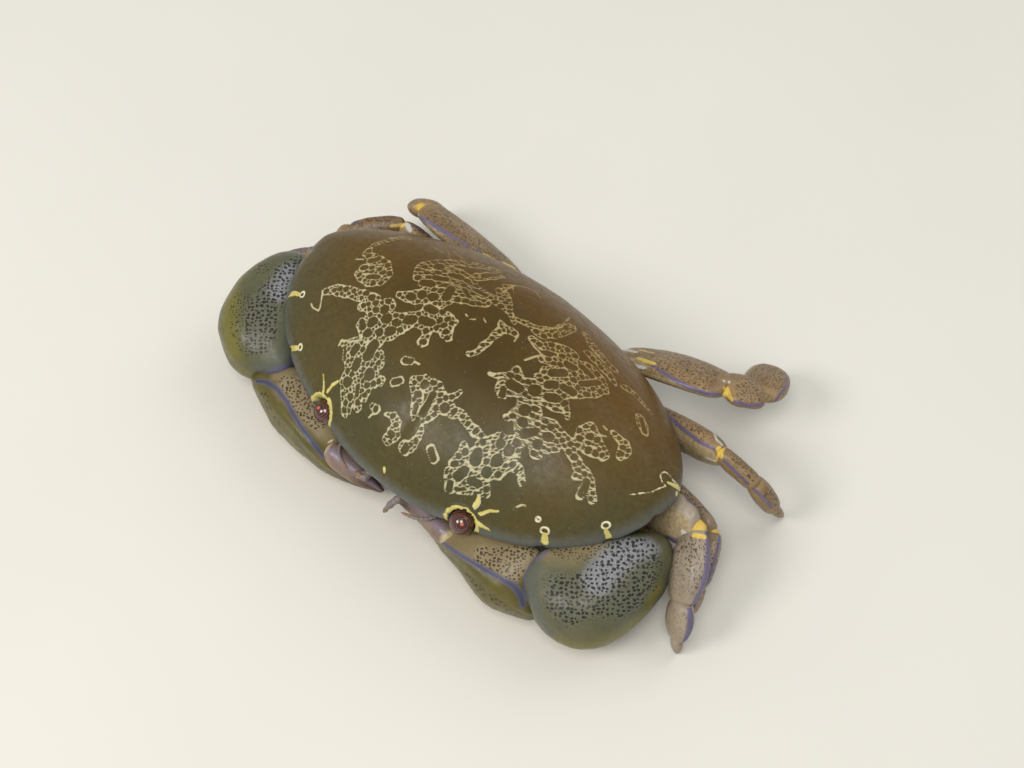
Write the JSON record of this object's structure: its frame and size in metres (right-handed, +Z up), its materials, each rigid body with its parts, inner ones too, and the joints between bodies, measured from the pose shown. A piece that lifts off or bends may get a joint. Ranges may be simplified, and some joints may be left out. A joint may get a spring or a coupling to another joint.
{
  "type": "floral egg crab",
  "caption": "Life-size still model of a smooth oval reef crab at rest, claws folded in front, dark olive shell with a cream lace pattern.",
  "frame": {"origin": "middle of the model's bounding box in plan, on the floor it rests on", "axes": "+X the animal's left, -Y its front, +Z up"},
  "size_m": [0.0688, 0.0442, 0.0191],
  "materials": {
    "shell": "smooth glossy shell, olive brown with cream lace lines and a blue-grey rim",
    "claw": "smooth shell, grey to olive with small dark spots and blue-violet ridges",
    "fingers": "smooth shell, mauve brown with dark tips",
    "legs": "satin shell, tan brown with fine dark spots, blue-violet crest and yellow joints",
    "underside": "pale cream brown shell plates",
    "eyes": "very glossy, dark red brown with fine rings",
    "feelers": "thin grey-blue to brown feelers and eye stalks"
  },
  "bodies": {
    "root": {"carapace": "shell", "thorax": "underside", "abdomen": "underside", "cheliped_L_merus": "claw", "cheliped_L_carpus": "claw", "cheliped_L_palm": "claw", "cheliped_L_dactyl": "fingers", "leg_L2_merus": "legs", "leg_L2_carpus": "legs", "leg_L2_propodus": "legs", "leg_L2_dactyl": "legs", "leg_L3_merus": "legs", "leg_L3_carpus": "legs", "leg_L3_propodus": "legs", "leg_L3_dactyl": "legs", "leg_L4_merus": "legs", "leg_L4_carpus": "legs", "leg_L4_propodus": "legs", "leg_L4_dactyl": "legs", "leg_L5_merus": "legs", "leg_L5_carpus": "legs", "leg_L5_propodus": "legs", "leg_L5_dactyl": "legs", "eye_L": "eyes", "eyestalk_L": "feelers", "antenna_L": "feelers", "antennule_L": "feelers", "maxilliped_L": "underside", "cheliped_R_merus": "claw", "cheliped_R_carpus": "claw", "cheliped_R_palm": "claw", "cheliped_R_dactyl": "fingers", "leg_R2_merus": "legs", "leg_R2_carpus": "legs", "leg_R2_propodus": "legs", "leg_R2_dactyl": "legs", "leg_R3_merus": "legs", "leg_R3_carpus": "legs", "leg_R3_propodus": "legs", "leg_R3_dactyl": "legs", "leg_R4_merus": "legs", "leg_R4_carpus": "legs", "leg_R4_propodus": "legs", "leg_R4_dactyl": "legs", "leg_R5_merus": "legs", "leg_R5_carpus": "legs", "leg_R5_propodus": "legs", "leg_R5_dactyl": "legs", "eye_R": "eyes", "eyestalk_R": "feelers", "antenna_R": "feelers", "antennule_R": "feelers", "maxilliped_R": "underside"}
  },
  "joints": []
}
